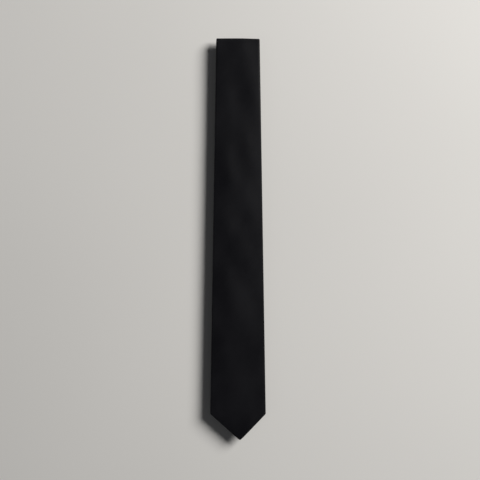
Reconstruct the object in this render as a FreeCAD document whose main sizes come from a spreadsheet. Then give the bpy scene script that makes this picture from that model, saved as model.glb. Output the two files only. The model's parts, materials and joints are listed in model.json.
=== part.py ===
import FreeCAD, Part
import math
import os
import Sketcher
from FreeCAD import Rotation, Vector

# A slim necktie, 55 mm wide and 1.47 m long, lying folded in four like a paper map.
#
# The tie is a flat tube of cloth, folded round a strip of interlining and closed down its back.
# Each quarter is one rigid layer. From the top of the stack down:
#   blade        the wide front end, face up, with its point at -Y
#   upper blade  face down, from the first fold at +Y to the middle fold at -Y
#   neck         face up, from the middle fold to the last fold at +Y
#   tail         face down, the narrow end, lying on the table
# The origin is the middle of the footprint, on the table. +X is the wearer's left, +Z is up.
#
# Every layer is drawn in its own frame, with its front face at height 0, its back at
# layer_thick, and its -Y end at 0, and is then placed in the stack, turned over if face up.

DIMENSIONS = [
    # the cloth, in mm
    ("shell_thick", 0.4),
    ("edge_wall", 0.7),
    ("edge_round", 0.9),
    ("layer_thick", 2.25),
    ("core_thick", 1.2),
    ("core_height", 0.45),
    ("core_inset", 0.9),
    ("lining_thick", 0.15),
    ("lining_height", 1.68),
    ("thread_thick", 0.15),
    # widths along the tie
    ("blade_width", 55.0),
    ("first_fold_width", 43.1),
    ("middle_fold_width", 31.2),
    ("last_fold_width", 31.0),
    ("tail_width", 38.0),
    # the two points
    ("blade_point", 26.5),
    ("blade_point_aside", 2.0),
    ("tail_point", 18.5),
    ("tip_hem", 5.0),
    # length of each layer, and the gap a turning layer leaves at its fold
    ("blade_length", 395.0),
    ("upper_length", 368.5),
    ("neck_length", 366.5),
    ("tail_length", 327.0),
    ("fold_gap", 0.3),
    # where each layer starts along Y
    ("blade_start", -199.0),
    ("inner_start", -172.5),
    ("tail_start", -133.0),
    ("outer_end", 196.0),
    ("last_end", 194.0),
    # height of each layer's front face
    ("tail_face", 0.0),
    ("neck_face", 6.0),
    ("upper_face", 6.5),
    ("blade_face", 12.5),
    # the folds: inside radius and height of the centre
    ("wide_bend", 0.75),
    ("tight_bend", 0.25),
    ("first_fold_height", 9.5),
    ("middle_fold_height", 6.25),
    ("last_fold_height", 3.0),
    # the panels' seams, measured along their layer
    ("blade_seam", 129.5),
    ("tail_seam", 186.5),
    ("seam_gap", 0.5),
    ("seam_thread", 0.4),
    # the opening between the back flaps
    ("blade_flap_vertex", 56.0),
    ("tail_flap_vertex", 39.0),
    ("slot_width", 0.6),
    # linings behind the points
    ("blade_lining_length", 115.0),
    ("tail_lining_length", 75.0),
    # slip stitch down the back
    ("stitch_width", 2.4),
    ("stitch_long", 0.6),
    ("stitch_pitch", 12.0),
    # bar tacks
    ("bar_tack_width", 7.0),
    ("bar_tack_long", 1.4),
    ("bar_tack_thick", 0.5),
    ("blade_tack_place", 60.0),
    ("tail_tack_place", 43.0),
    # keeper loop across the back of the blade
    ("keeper_place", 196.0),
    ("keeper_long", 11.0),
    ("keeper_width", 42.0),
    ("keeper_thick", 0.4),
    ("keeper_rise", 0.5),
    ("keeper_foot", 1.6),
    ("keeper_tack_long", 7.0),
    ("keeper_tack_wide", 0.5),
    # blank labels
    ("maker_place", 150.0),
    ("maker_long", 24.0),
    ("maker_width", 38.0),
    ("maker_tack_long", 18.0),
    ("maker_tack_wide", 0.6),
    ("care_place", 232.0),
    ("care_long", 28.0),
    ("care_width", 13.0),
    ("care_offset", 8.5),
    ("label_height", 2.42),
    ("label_thick", 0.25),
]

# each layer: start along Y, front-face height, length, width at the -Y end, width at the
# +Y end, and True if it lies face up
LAYERS = {
    "blade": ("blade_start", "blade_face", "blade_length", "blade_width", "first_fold_width", True),
    "upper": ("inner_start", "upper_face", "upper_length", "middle_fold_width",
              "first_fold_width", False),
    "neck": ("inner_start", "neck_face", "neck_length", "middle_fold_width",
             "last_fold_width", True),
    "tail": ("tail_start", "tail_face", "tail_length", "tail_width", "last_fold_width", False),
}

doc = FreeCAD.newDocument("necktie")
sheet = doc.addObject("Spreadsheet::Sheet", "dims")


def fill_sheet():
    for row, (name, value) in enumerate(DIMENSIONS, start=1):
        sheet.set(f"A{row}", name)
        sheet.set(f"B{row}", str(value))
        sheet.setAlias(f"B{row}", name)
    doc.recompute()


def plane_of(body, role):
    return next(f for f in body.Origin.OriginFeatures if f.Role == role)


def layer_body(label, layer):
    """A body in the frame of one layer of the stack."""
    start, face, _, _, _, face_up = LAYERS[layer]
    body = doc.addObject("PartDesign::Body", label)
    body.Label = label
    if face_up:
        body.Placement.Rotation = Rotation(Vector(0, 1, 0), 180)
    body.setExpression("Placement.Base.y", f"dims.{start}")
    body.setExpression("Placement.Base.z", f"dims.{face}")
    return body


def bind(sketch, kind, name, where, formula, now):
    """Tie one point of a sketch to the origin by a named, sheet-driven distance."""
    number = sketch.addConstraint(Sketcher.Constraint(kind, -1, 1, where, 1, now))
    sketch.renameConstraint(number, name)
    sketch.setExpression(f"Constraints.{name}", formula)


def outline(body, name, corners, height="0"):
    """A closed polygon on the layer's plane, each corner (x, y) a formula in sheet names."""
    sketch = body.newObject("Sketcher::SketchObject", name)
    sketch.AttachmentSupport = [(plane_of(body, "XY_Plane"), "")]
    sketch.MapMode = "FlatFace"
    sketch.setExpression("AttachmentOffset.Base.z", height)
    points = [Vector(*[float(body.evalExpression(f"({v}) * 1")) for v in c], 0) for c in corners]
    count = len(points)
    for i, point in enumerate(points):
        sketch.addGeometry(Part.LineSegment(point, points[(i + 1) % count]))
    for i in range(count):
        sketch.addConstraint(Sketcher.Constraint("Coincident", i, 2, (i + 1) % count, 1))
    for i, (point, (x, y)) in enumerate(zip(points, corners)):
        if x == "0":
            sketch.addConstraint(Sketcher.Constraint("PointOnObject", i, 1, -2))
        else:
            bind(sketch, "DistanceX", f"across{i}", i, x, point.x)
        if y == "0":
            sketch.addConstraint(Sketcher.Constraint("PointOnObject", i, 1, -1))
        else:
            bind(sketch, "DistanceY", f"along{i}", i, y, point.y)
    return sketch


def pad(body, sketch, length):
    feature = body.newObject("PartDesign::Pad", "pad")
    feature.Profile = sketch
    feature.setExpression("Length", length)
    return feature


def cut_up(body, sketch, depth):
    """A pocket cut from the sketch towards the back of the tie."""
    feature = body.newObject("PartDesign::Pocket", "pocket")
    feature.Profile = sketch
    feature.Reversed = True
    feature.setExpression("Length", depth)
    return feature


def half_width(layer, y):
    """The tie's half width at y along a layer, as a formula."""
    _, _, length, low, high, _ = LAYERS[layer]
    return f"(dims.{low} + (dims.{high} - dims.{low}) * ({y}) / dims.{length}) / 2"


def strip(layer, low, high, inset="0", lean_low=False, lean_high=False):
    """Corners of a stretch of a layer, its ends square or leaning 45 degrees, on the bias."""
    _, _, length, narrow, wide, _ = LAYERS[layer]
    taper = f"(dims.{wide} - dims.{narrow}) / dims.{length} / 2"
    corners = []
    for y, lean, side in ((low, lean_low, "-"), (low, lean_low, "+"),
                          (high, lean_high, "+"), (high, lean_high, "-")):
        half = f"({half_width(layer, y)} - ({inset}))"
        sign = "-" if side == "-" else ""
        if lean:
            half = f"({half} / (1 {side} {taper}))"
            y = f"{y} + {half}" if side == "-" else f"{y} - {half}"
        corners.append((f"{sign}{half}", y))
    return corners


def pointed(layer, point, aside, top, inset, tip_inset):
    """Corners of a stretch that ends in the tie's point, drawn clockwise from the tip."""
    half_low = half_width(layer, "0")
    half_top = half_width(layer, top)
    return [
        (f"-({aside})" if aside != "0" else "0", tip_inset if tip_inset != "0" else "0"),
        (f"-(({half_low}) - ({inset}))", point),
        (f"-(({half_top}) - ({inset}))", top),
        (f"({half_top}) - ({inset})", top),
        (f"({half_low}) - ({inset})", point),
    ]


def round_long_edges(body, feature, low, high):
    """Round the rolled edges: the outer long edges of the front face and of the back."""
    names = []
    for number, edge in enumerate(feature.Shape.Edges, start=1):
        ends = [v.Point for v in edge.Vertexes]
        if len(ends) < 2 or abs(ends[0].z - ends[1].z) > 1e-6:
            continue
        level = ends[0].z
        on_face = level < 1e-6 or level > sheet.layer_thick - 1e-6
        middle = (ends[0] + ends[1]) / 2
        outer = abs(middle.x) > 0.25 * sheet.last_fold_width
        inside = low + 1e-3 < middle.y < high - 1e-3
        across = abs(ends[0].y - ends[1].y) < 1e-6
        if on_face and outer and inside and not across and edge.Length > 20:
            names.append(f"Edge{number}")
    fillet = body.newObject("PartDesign::Fillet", "rolled_edges")
    fillet.Base = (feature, names)
    fillet.setExpression("Radius", "dims.edge_round")
    return fillet


def hollow(body, corners):
    """Empty the inside of the cloth tube, between its front and its back flaps."""
    sketch = outline(body, "inside", corners, "dims.shell_thick")
    return cut_up(body, sketch, "dims.layer_thick - 2 * dims.shell_thick")


def back_slot(body, corners):
    """Cut the opening between the two back flaps."""
    sketch = outline(body, "flap_opening", corners, "dims.layer_thick - dims.shell_thick")
    return cut_up(body, sketch, "dims.shell_thick + 1")


def pointed_shell(label, layer, point, aside, vertex, trim):
    """A pointed end: front, rolled edges, and back flaps open in a diamond over the lining."""
    _, _, length, _, _, _ = LAYERS[layer]
    top = f"dims.{length} - dims.{trim}"
    body = layer_body(label, layer)
    slab = pad(body, outline(body, "front", pointed(layer, f"dims.{point}", aside, top,
                                                    "0", "0")), "dims.layer_thick")
    doc.recompute()
    ends = (0.0, float(body.evalExpression(f"({top}) * 1")))
    round_long_edges(body, slab, *ends)
    inner = pointed(layer, f"dims.{point} + 0.3", aside, f"{top} + 1",
                    "dims.edge_wall", "dims.edge_wall * 1.6")
    hollow(body, inner)
    half = half_width(layer, f"dims.{point}")
    slot = "dims.slot_width / 2"
    back_slot(body, [
        (f"-({aside})" if aside != "0" else "0", "dims.tip_hem * 1.4"),
        (f"-(({half}) - dims.tip_hem)", f"dims.{point} + 1"),
        (f"-{slot}", f"dims.{vertex}"),
        (f"-{slot}", f"{top} + 1"),
        (slot, f"{top} + 1"),
        (slot, f"dims.{vertex}"),
        (f"({half}) - dims.tip_hem", f"dims.{point} + 1"),
    ])
    return body


def open_shell(label, layer, low, high, lean_low=False, lean_high=False):
    """A stretch of cloth tube, open at both ends, with its flaps meeting down the back."""
    body = layer_body(label, layer)
    slab = pad(body, outline(body, "front", strip(layer, low, high, "0", lean_low, lean_high)),
               "dims.layer_thick")
    doc.recompute()
    _, _, length, _, _, _ = LAYERS[layer]
    round_long_edges(body, slab, 0.0, getattr(sheet, length))
    through = "2"
    low_end = f"{low} - {through}" if not lean_low else f"{low} - 40"
    high_end = f"{high} + {through}" if not lean_high else f"{high} + 40"
    hollow(body, strip(layer, low_end, high_end, "dims.edge_wall"))
    slot = "dims.slot_width / 2"
    back_slot(body, [(f"-{slot}", low_end), (slot, low_end), (slot, high_end),
                     (f"-{slot}", high_end)])
    return body


def flat_piece(label, layer, corners, height, thick):
    """A flat piece of the given outline, from one height in the layer to another."""
    body = layer_body(label, layer)
    pad(body, outline(body, "outline", corners, height), thick)
    return body


def rectangle(place, long, wide, offset="0"):
    """Corners of a rectangle centred at a place along the layer and an offset across it."""
    near = f"({place}) - ({long}) / 2"
    far = f"({place}) + ({long}) / 2"
    left = f"({offset}) - ({wide}) / 2"
    right = f"({offset}) + ({wide}) / 2"
    return [(left, near), (right, near), (right, far), (left, far)]


def core(label, layer, low, high):
    """The interlining of a square-ended layer."""
    return flat_piece(label, layer, strip(layer, low, high, "dims.core_inset"),
                      "dims.core_height", "dims.core_thick")


def pointed_core(label, layer, point, aside, top):
    corners = pointed(layer, f"dims.{point} + 0.6", aside, top,
                      "dims.core_inset", "dims.core_inset * 1.7")
    return flat_piece(label, layer, corners, "dims.core_height", "dims.core_thick")


def tipping(label, layer, point, aside, top):
    """The lining behind a point, between the interlining and the back flaps."""
    corners = pointed(layer, f"dims.{point} + 0.6", aside, top,
                      "dims.core_inset", "dims.core_inset * 1.7")
    return flat_piece(label, layer, corners, "dims.lining_height", "dims.lining_thick")


def slip_stitch(label, layer, low, high):
    """The thread that closes the back: a run in the slot, with a stitch across at each pitch."""
    _, _, length, _, _, _ = LAYERS[layer]
    body = layer_body(label, layer)
    wide = "dims.slot_width - 0.2"
    run = outline(body, "run", [(f"-({wide}) / 2", low), (f"({wide}) / 2", low),
                                (f"({wide}) / 2", high), (f"-({wide}) / 2", high)],
                  "dims.layer_thick - dims.thread_thick")
    pad(body, run, "dims.thread_thick")
    cross = outline(body, "stitch", rectangle(f"({low}) + 6", "dims.stitch_long",
                                              "dims.stitch_width"), "dims.layer_thick")
    stitch = pad(body, cross, "dims.thread_thick")
    span = float(body.evalExpression(f"(({high}) - ({low})) * 1"))
    row = body.newObject("PartDesign::LinearPattern", "stitches")
    row.Originals = [stitch]
    row.Direction = (cross, ["V_Axis"])
    row.Occurrences = int((span - 12) // sheet.stitch_pitch) + 1
    row.setExpression("Length", f"dims.stitch_pitch * {row.Occurrences - 1}")
    body.Tip = row
    return body


def keeper_loop():
    """The self-cloth loop that holds the tail: a strip standing off the blade's back."""
    body = layer_body("keeper_loop", "blade")
    place = "dims.keeper_place"
    rise = "dims.layer_thick + dims.keeper_rise"
    pad(body, outline(body, "strip", rectangle(place, "dims.keeper_long", "dims.keeper_width"),
                      rise), "dims.keeper_thick")
    for name, side in (("left_foot", "-"), ("right_foot", "")):
        foot = rectangle(place, "dims.keeper_long", "dims.keeper_foot",
                         f"{side}(dims.keeper_width - dims.keeper_foot) / 2")
        pad(body, outline(body, name, foot, "dims.layer_thick"), "dims.keeper_rise")
    return body


def keeper_tack(label, side):
    """The row of stitches that holds one end of the keeper loop."""
    offset = f"{side}(dims.keeper_width - dims.keeper_foot) / 2"
    return flat_piece(label, "blade", rectangle("dims.keeper_place", "dims.keeper_tack_long",
                                                "dims.keeper_tack_wide", offset),
                      "dims.layer_thick + dims.keeper_rise + dims.keeper_thick",
                      "dims.thread_thick")


def label_tack(label, side):
    offset = f"{side}(dims.maker_width / 2 - 1.5)"
    return flat_piece(label, "blade", rectangle("dims.maker_place", "dims.maker_tack_long",
                                                "dims.maker_tack_wide", offset),
                      "dims.label_height + dims.label_thick", "dims.thread_thick")


def seam(label, layer, place):
    """The stitched seam between two panels, lying on the bias in the front face."""
    middle = f"{place} + dims.seam_gap / 2"
    low = f"{middle} - dims.seam_thread / 2"
    high = f"{middle} + dims.seam_thread / 2"
    return flat_piece(label, layer, strip(layer, low, high, "dims.edge_round", True, True),
                      "0.05", "dims.shell_thick - 0.1")


def half_ring(body, name, inner, outer):
    """Sketch of half a flat ring round the fold line, standing across the tie."""
    sketch = body.newObject("Sketcher::SketchObject", name)
    sketch.AttachmentSupport = [(plane_of(body, "YZ_Plane"), "")]
    sketch.MapMode = "FlatFace"
    radii = [float(body.evalExpression(f"({formula}) * 1")) for formula in (inner, outer)]
    low, high = -math.pi / 2, math.pi / 2
    for radius in radii:
        circle = Part.Circle(Vector(0, 0, 0), Vector(0, 0, 1), radius)
        sketch.addGeometry(Part.ArcOfCircle(circle, low, high))
    for end in (-1, 1):
        sketch.addGeometry(Part.LineSegment(Vector(0, end * radii[0], 0),
                                            Vector(0, end * radii[1], 0)))
    for arc, formula in enumerate((inner, outer)):
        sketch.addConstraint(Sketcher.Constraint("Coincident", arc, 3, -1, 1))
        number = sketch.addConstraint(Sketcher.Constraint("Radius", arc, radii[arc]))
        sketch.renameConstraint(number, f"radius{arc}")
        sketch.setExpression(f"Constraints.radius{arc}", formula)
        for end in (1, 2):
            sketch.addConstraint(Sketcher.Constraint("PointOnObject", arc, end, -2))
    for line, end in ((2, 1), (3, 2)):
        sketch.addConstraint(Sketcher.Constraint("Coincident", line, 1, 0, end))
        sketch.addConstraint(Sketcher.Constraint("Coincident", line, 2, 1, end))
    return sketch


def fold_body(label, line, height, towards_tip):
    """A body at a fold line, with the bend reaching towards +Y or towards the tip."""
    body = doc.addObject("PartDesign::Body", label)
    body.Label = label
    if towards_tip:
        body.Placement.Rotation = Rotation(Vector(0, 0, 1), 180)
    body.setExpression("Placement.Base.y", f"dims.{line}")
    body.setExpression("Placement.Base.z", f"dims.{height}")
    return body


def fold_pad(body, sketch, wide):
    feature = body.newObject("PartDesign::Pad", "bend")
    feature.Profile = sketch
    feature.Midplane = True
    feature.setExpression("Length", wide)
    return feature


def shell_fold(label, line, height, bend, width, towards_tip):
    """The cloth tube where it turns over at a fold."""
    body = fold_body(label, line, height, towards_tip)
    inner = f"dims.{bend}"
    outer = f"dims.{bend} + dims.layer_thick"
    fold_pad(body, half_ring(body, "outside", inner, outer), f"dims.{width}")
    inside = half_ring(body, "inside", f"{inner} + dims.shell_thick",
                       f"{outer} - dims.shell_thick")
    cavity = body.newObject("PartDesign::Pocket", "hollow")
    cavity.Profile = inside
    cavity.Midplane = True
    cavity.setExpression("Length", f"dims.{width} - 2 * dims.edge_wall")
    return body


def core_fold(label, line, height, bend, width, towards_tip, front_outside):
    """The interlining where it turns over at a fold."""
    body = fold_body(label, line, height, towards_tip)
    if front_outside:
        outer = f"dims.{bend} + dims.layer_thick - dims.core_height"
        inner = f"{outer} - dims.core_thick"
    else:
        inner = f"dims.{bend} + dims.core_height"
        outer = f"{inner} + dims.core_thick"
    fold_pad(body, half_ring(body, "bend_line", inner, outer),
             f"dims.{width} - 2 * dims.core_inset")
    return body


def build_blade():
    aside = "dims.blade_point_aside"
    pointed_shell("blade_shell", "blade", "blade_point", aside, "blade_flap_vertex", "fold_gap")
    pointed_core("blade_interlining", "blade", "blade_point", aside,
                 "dims.blade_length - dims.fold_gap")
    tipping("blade_tipping", "blade", "blade_point", aside, "dims.blade_lining_length")
    slip_stitch("blade_slip_stitch", "blade", "dims.blade_tack_place + 3",
                "dims.blade_length - 4")
    flat_piece("blade_bar_tack", "blade",
               rectangle("dims.blade_tack_place", "dims.bar_tack_long", "dims.bar_tack_width"),
               "dims.layer_thick", "dims.bar_tack_thick")
    keeper_loop()
    keeper_tack("keeper_tack_left", "-")
    keeper_tack("keeper_tack_right", "")
    flat_piece("maker_label_blank", "blade",
               rectangle("dims.maker_place", "dims.maker_long", "dims.maker_width"),
               "dims.label_height", "dims.label_thick")
    label_tack("label_stitch_left", "-")
    label_tack("label_stitch_right", "")
    flat_piece("care_label_blank", "blade",
               rectangle("dims.care_place", "dims.care_long", "dims.care_width",
                         "dims.care_offset"), "dims.layer_thick", "dims.label_thick")


def build_upper():
    seam_end = "dims.blade_seam + dims.seam_gap"
    open_shell("gusset_shell_upper", "upper", "dims.fold_gap", "dims.blade_seam",
               lean_high=True)
    open_shell("blade_shell_upper", "upper", seam_end, "dims.upper_length", lean_low=True)
    seam("blade_gusset_seam", "upper", "dims.blade_seam")
    core("upper_interlining", "upper", "dims.fold_gap", "dims.upper_length")
    slip_stitch("upper_slip_stitch", "upper", "4", "dims.upper_length - 4")


def build_neck():
    open_shell("gusset_shell_neck", "neck", "0", "dims.tail_seam", lean_high=True)
    open_shell("tail_shell_neck", "neck", "dims.tail_seam + dims.seam_gap", "dims.neck_length",
               lean_low=True)
    seam("gusset_tail_seam", "neck", "dims.tail_seam")
    core("neck_interlining", "neck", "0", "dims.neck_length")
    slip_stitch("neck_slip_stitch", "neck", "4", "dims.neck_length - 4")


def build_tail():
    pointed_shell("tail_shell", "tail", "tail_point", "0", "tail_flap_vertex", "fold_gap")
    pointed_core("tail_interlining", "tail", "tail_point", "0",
                 "dims.tail_length - dims.fold_gap")
    tipping("tail_tipping", "tail", "tail_point", "0", "dims.tail_lining_length")
    slip_stitch("tail_slip_stitch", "tail", "dims.tail_tack_place + 3",
                "dims.tail_length - 4")
    flat_piece("tail_bar_tack", "tail",
               rectangle("dims.tail_tack_place", "dims.bar_tack_long", "dims.bar_tack_width"),
               "dims.layer_thick", "dims.bar_tack_thick")


def build_folds():
    folds = (
        ("first", "blade", "outer_end", "first_fold_height", "wide_bend", "first_fold_width",
         False, True),
        ("middle", "gusset", "inner_start", "middle_fold_height", "tight_bend",
         "middle_fold_width", True, False),
        ("last", "tail", "last_end", "last_fold_height", "wide_bend", "last_fold_width",
         False, True),
    )
    for name, panel, line, height, bend, width, towards_tip, front_outside in folds:
        shell_fold(f"{panel}_shell_fold", line, height, bend, width, towards_tip)
        core_fold(f"interlining_{name}_fold", line, height, bend, width, towards_tip,
                  front_outside)


def check_model():
    """Stop on any feature that failed or any sub-part that is not one valid solid."""
    for thing in doc.Objects:
        if {"Invalid", "Error"} & set(thing.State):
            raise RuntimeError(f"{thing.Name} ({thing.Label}) did not compute")
    for body in (o for o in doc.Objects if o.TypeId == "PartDesign::Body"):
        shape = body.Shape
        if shape.isNull() or not shape.isValid() or len(shape.Solids) != 1:
            raise RuntimeError(f"{body.Label} is not one valid solid")


def write_parts():
    os.makedirs("parts", exist_ok=True)
    for body in (o for o in doc.Objects if o.TypeId == "PartDesign::Body"):
        body.Shape.exportStep(f"parts/{body.Label}.step")


fill_sheet()
build_blade()
build_upper()
build_neck()
build_tail()
build_folds()
doc.recompute()
check_model()
write_parts()
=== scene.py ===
import json
import math
import bpy
import numpy as np
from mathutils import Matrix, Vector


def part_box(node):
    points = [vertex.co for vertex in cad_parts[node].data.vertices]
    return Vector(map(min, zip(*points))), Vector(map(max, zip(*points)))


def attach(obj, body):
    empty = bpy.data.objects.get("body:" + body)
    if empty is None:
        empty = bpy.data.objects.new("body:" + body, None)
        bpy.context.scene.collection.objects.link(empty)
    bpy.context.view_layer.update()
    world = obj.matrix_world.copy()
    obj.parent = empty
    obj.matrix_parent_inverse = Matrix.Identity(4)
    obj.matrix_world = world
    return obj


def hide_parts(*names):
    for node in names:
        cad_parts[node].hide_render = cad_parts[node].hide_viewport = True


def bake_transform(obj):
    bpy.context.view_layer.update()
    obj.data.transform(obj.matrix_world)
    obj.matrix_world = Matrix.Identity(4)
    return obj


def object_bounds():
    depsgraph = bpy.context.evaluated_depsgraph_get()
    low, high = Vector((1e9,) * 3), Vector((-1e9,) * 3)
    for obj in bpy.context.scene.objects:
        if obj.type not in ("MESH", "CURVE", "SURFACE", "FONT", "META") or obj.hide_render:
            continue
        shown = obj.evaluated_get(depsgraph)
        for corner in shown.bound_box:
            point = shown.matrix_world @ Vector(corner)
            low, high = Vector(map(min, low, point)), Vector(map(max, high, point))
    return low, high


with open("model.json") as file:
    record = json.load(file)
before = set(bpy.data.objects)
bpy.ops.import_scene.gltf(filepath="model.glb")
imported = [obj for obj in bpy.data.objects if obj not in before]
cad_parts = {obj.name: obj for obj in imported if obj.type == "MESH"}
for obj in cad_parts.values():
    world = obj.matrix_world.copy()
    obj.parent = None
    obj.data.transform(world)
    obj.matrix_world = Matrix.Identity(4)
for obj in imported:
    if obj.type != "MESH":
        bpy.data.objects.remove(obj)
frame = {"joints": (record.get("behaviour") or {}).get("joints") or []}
cad_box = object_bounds()

# A slim black necktie folded in four. Lengths below are in millimetres unless they say otherwise.
# Each real panel of cloth is one closed mesh, laid over its fold. A place on a panel is given by
# c, the distance across the cloth from the middle of the front, and s, the distance along it.

MM = 0.001

# The tube of cloth
CLOTH = 0.35                # thickness of the shell's cloth
HALF = 1.0                  # from a layer's middle to its front or back
SKIN = HALF - CLOTH / 2     # from a layer's middle to the middle of its cloth
ROLL = 0.5                  # width of a rolled edge, to the middle of its cloth
CROWN = 0.5                 # how much lower the front is at its edges than along its middle
SHOULDER, SHOULDER_WIDE = 0.08, 5.0     # a further fall close to the edges, and its width

# The lap on the back: how far each flap goes past the middle, and how deep one dips under the
# other. A flap's mesh is coarse up to FLAP_NEAR, and fine from there to its end.
LAP_UNDER, LAP_OVER = 4.0, 1.5
LAP_DEPTH = 0.37
FLAP_NEAR = {-1: -5.0, 1: 1.0}
COARSE = 0.6

# The points
BLADE_POINT, TAIL_POINT = 26.5, 18.5    # their lengths
BLADE_ASIDE = 2.0           # how far the blade's tip is from the middle line
HEM, HEM_DEPTH = 4.0, 0.5   # how wide the hem is, and how deep it lies under the front
PRESSED = 6.0               # how far from the tip's edges the tube is pressed flat
POINT_THIN = 0.32           # the share of the thickness that is gone there
TIP_ROUND = 0.5             # radius of the tip's corner
DROOP = 0.9                 # how far the overhanging tip of the blade hangs down

# The folds
CREASE = 12.0               # how far from a fold its sharp crease ends
FLATTENED = 95.0            # how far from a fold the front stops being pressed flat
DRAWN_IN = 0.3              # how much narrower each half of the tube is as it turns over

# Soft swells of the blade's front: x, distance from the fold, half width, half length, height.
SWELLS = ((19.0, 50.0, 13.0, 38.0, 1.4), (-11.0, 114.0, 10.0, 20.0, 0.55),
          (-6.0, 260.0, 12.0, 26.0, 0.35), (-8.0, 372.0, 12.0, 16.0, 0.3))

# Inside the tube: thicknesses, and how far each sheet stops short of the tip and of the sides
WOOL, WOOL_MARGIN, WOOL_INSET = 0.56, 7.5, 3.0
SATIN, SATIN_MARGIN, SATIN_INSET = 0.1, 2.8, 1.2
LABEL = 0.16                # thickness of a label's ribbon

# Radius of the thread in each kind of stitch
SLIP_THREAD, TACK_THREAD, SEAM_THREAD, KEEPER_THREAD, LABEL_THREAD = 0.12, 0.14, 0.09, 0.13, 0.1


# ---------------------------------------------------------------- where the CAD frame puts things

def box_mm(node):
    """A CAD node's lowest and highest corners at rest."""
    low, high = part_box(node)
    return np.array(low) / MM, np.array(high) / MM


def joint_place(name):
    """y and z of a fold's hinge line."""
    joint = next(j for j in frame["joints"] if j["name"] == name)
    return joint["pos_m"][1] / MM, joint["pos_m"][2] / MM


class Layer:
    """One leg of the folded tie: its middle height, which way its front faces, its width."""

    def __init__(self, node, front, y_low, width_low, y_high, width_high):
        low, high = box_mm(node)
        self.mid = (low[2] + high[2]) / 2
        self.front = front
        self.ends = (y_low, y_high)
        self.halves = (width_low / 2, width_high / 2)

    def half(self, y):
        """Half the width at y."""
        return np.interp(y, self.ends, self.halves)

    def back(self, lift):
        """Height of a point lifted off the layer's back."""
        return self.mid - self.front * (HALF + lift)


FIRST_Y, FIRST_Z = joint_place("first_fold")
MIDDLE_Y, MIDDLE_Z = joint_place("middle_fold")
LAST_Y, LAST_Z = joint_place("last_fold")
blade_low, blade_high = box_mm("blade_shell")
tail_low, tail_high = box_mm("tail_shell")
first_wide = np.ptp([b[0] for b in box_mm("blade_shell_fold")])
middle_wide = np.ptp([b[0] for b in box_mm("gusset_shell_fold")])
last_wide = np.ptp([b[0] for b in box_mm("tail_shell_fold")])
BLADE_TIP, TAIL_TIP = blade_low[1], tail_low[1]
BLADE_WIDE, TAIL_WIDE = np.ptp([blade_low[0], blade_high[0]]), np.ptp([tail_low[0], tail_high[0]])

BLADE = Layer("blade_shell", 1, BLADE_TIP + BLADE_POINT, BLADE_WIDE, FIRST_Y, first_wide)
UPPER = Layer("blade_shell_upper", -1, MIDDLE_Y, middle_wide, FIRST_Y, first_wide)
NECK = Layer("gusset_shell_neck", 1, MIDDLE_Y, middle_wide, LAST_Y, last_wide)
TAIL = Layer("tail_shell", -1, TAIL_TIP + TAIL_POINT, TAIL_WIDE, LAST_Y, last_wide)


def smooth(t):
    """A smooth step from 0 to 1 while t goes from 0 to 1."""
    t = np.clip(t, 0.0, 1.0)
    return t * t * (3 - 2 * t)


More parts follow.
